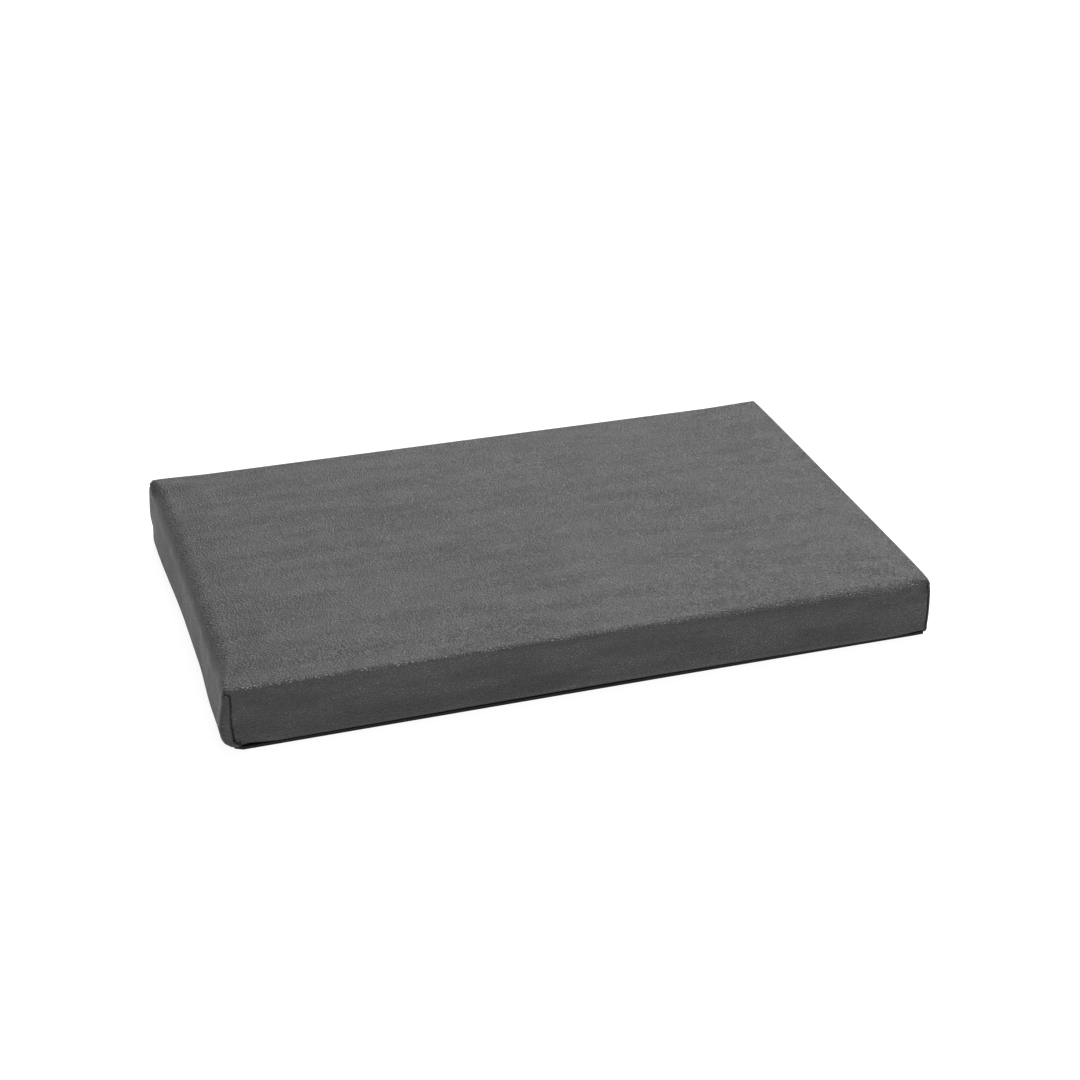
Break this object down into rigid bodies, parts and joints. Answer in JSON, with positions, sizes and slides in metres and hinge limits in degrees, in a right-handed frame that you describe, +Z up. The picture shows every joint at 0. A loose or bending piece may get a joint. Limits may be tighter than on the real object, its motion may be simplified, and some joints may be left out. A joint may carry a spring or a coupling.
{
  "type": "kneeling pad",
  "caption": "Rectangular upholstered kneeling pad: grained leatherette cover, folded at its corners, over layered foam on a thin board, with a non-slip base.",
  "frame": {"origin": "middle of the underside, on the floor", "axes": "+X along the pad's long side, +Y across it from front to back, +Z up out of the kneeling face"},
  "size_m": [0.45, 0.3, 0.04],
  "materials": {
    "leatherette": "fine pebbled grain, semi-matt",
    "wadding": "fibrous polyester",
    "soft_foam": "open-cell foam",
    "firm_foam": "bonded crumb foam",
    "plywood": "raw sanded plywood",
    "grip_sheet": "matt, moulded dots",
    "staple_wire": "galvanised"
  },
  "bodies": {
    "root": {"cover": "leatherette", "wadding": "wadding", "soft_foam_topper": "soft_foam", "firm_foam_core": "firm_foam", "base_board": "plywood", "non_slip_base": "grip_sheet", "cover_staples": "staple_wire", "base_staples": "staple_wire"}
  },
  "joints": []
}
